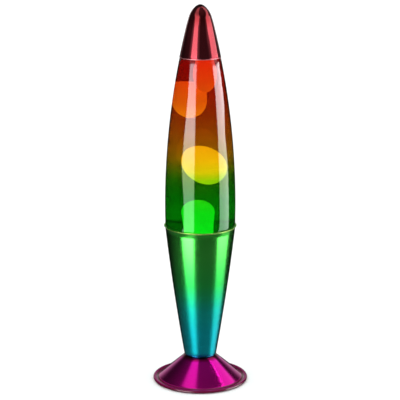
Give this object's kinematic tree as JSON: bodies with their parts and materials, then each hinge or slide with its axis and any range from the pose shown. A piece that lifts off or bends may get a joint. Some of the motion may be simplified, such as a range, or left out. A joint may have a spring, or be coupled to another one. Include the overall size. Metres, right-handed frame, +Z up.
{
  "type": "lava lamp",
  "caption": "Slim rocket-shaped table lava lamp with a dyed metal cap, a lacquered glass bottle of liquid and wax, a tapered metal body and a flared round foot.",
  "frame": {"origin": "centre of the underside, on the lamp's own axis and on the table it stands on", "axes": "+Z up along the lamp's axis, -Y to the front, +Y to the side that the cord leaves by, +X to the viewer's right"},
  "size_m": [0.105, 0.105, 0.42],
  "materials": {
    "cap_metal": "spun and dyed red, glossy satin",
    "lacquered_glass": "clear glass lacquered outside from red through amber to green",
    "clear_liquid": "clear liquid",
    "wax": "white translucent wax lit from below",
    "cone_metal": "spun, brushed round, dyed green fading to cyan below",
    "foot_metal": "spun and dyed magenta, glossy satin",
    "tinplate": "bright tinplate",
    "liner_plastic": "soft sealing plastic",
    "plated_steel": "zinc plated",
    "cast_iron": "raw casting",
    "cover_sheet": "black painted sheet",
    "rubber": "black rubber",
    "mica": "pressed mica",
    "ceramic": "white glazed ceramic",
    "brass": "pressed brass",
    "nickel": "nickel plated",
    "bulb_glass": "frosted glass",
    "clear_glass": "clear glass",
    "black_glass": "black fused glass",
    "tungsten": "glowing wire"
  },
  "bodies": {
    "base": {"foot_shell": "foot_metal", "ballast_ring": "cast_iron", "bottom_cover": "cover_sheet", "cover_screw_1": "plated_steel", "cover_screw_2": "plated_steel", "cover_screw_3": "plated_steel", "rubber_pad_1": "rubber", "rubber_pad_2": "rubber", "rubber_pad_3": "rubber", "rubber_pad_4": "rubber", "cord_grommet": "rubber", "threaded_nipple": "plated_steel", "lock_washer": "plated_steel", "lock_nut": "plated_steel", "mica_washer": "mica", "holder_body": "ceramic", "holder_sleeve": "brass", "holder_contact": "brass", "terminal_screw_1": "brass", "terminal_screw_2": "brass", "cone_body": "cone_metal"},
    "bulb_tip": {"bulb_contact": "nickel"},
    "bulb": {"bulb_envelope": "bulb_glass", "bulb_screw_cap": "nickel", "bulb_insulator": "black_glass", "bulb_stem": "clear_glass", "bulb_filament": "tungsten"},
    "bottle": {"glass_bottle": "lacquered_glass", "crown_cap": "tinplate", "crown_liner": "liner_plastic", "liquid": "clear_liquid", "wax_pool": "wax", "heat_coil": "plated_steel"},
    "cap": {"decorative_cap": "cap_metal"},
    "wax_middle": {"wax_blob_middle": "wax"},
    "wax_upper_left": {"wax_blob_upper_left": "wax"},
    "wax_upper_right": {"wax_blob_upper_right": "wax"}
  },
  "joints": [
    {"name": "bulb_rise", "type": "slide", "parent": "base", "child": "bulb_tip", "axis": [0, 0, 1], "range_m": [0, 0.007]},
    {"name": "bulb_turn", "type": "hinge", "parent": "bulb_tip", "child": "bulb", "pos_m": [0, 0, 0.0625], "axis": [0, 0, 1], "range_deg": [0, 900]},
    {"name": "bottle_lift", "type": "slide", "parent": "base", "child": "bottle", "axis": [0, 0, 1], "range_m": [0, 0.075]},
    {"name": "cap_lift", "type": "slide", "parent": "bottle", "child": "cap", "axis": [0, 0, 1], "range_m": [0, 0.06]},
    {"name": "wax_middle_drift", "type": "slide", "parent": "bottle", "child": "wax_middle", "axis": [0, 0, 1], "range_m": [-0.012, 0.016]},
    {"name": "wax_upper_left_drift", "type": "slide", "parent": "bottle", "child": "wax_upper_left", "axis": [0, 0, 1], "range_m": [-0.008, 0.003]},
    {"name": "wax_upper_right_drift", "type": "slide", "parent": "bottle", "child": "wax_upper_right", "axis": [0, 0, 1], "range_m": [-0.01, 0.001]}
  ],
  "couplings": [
    {"joint": "bulb_rise", "follows": "bulb_turn", "m_per_rad": 0.00044563}
  ]
}
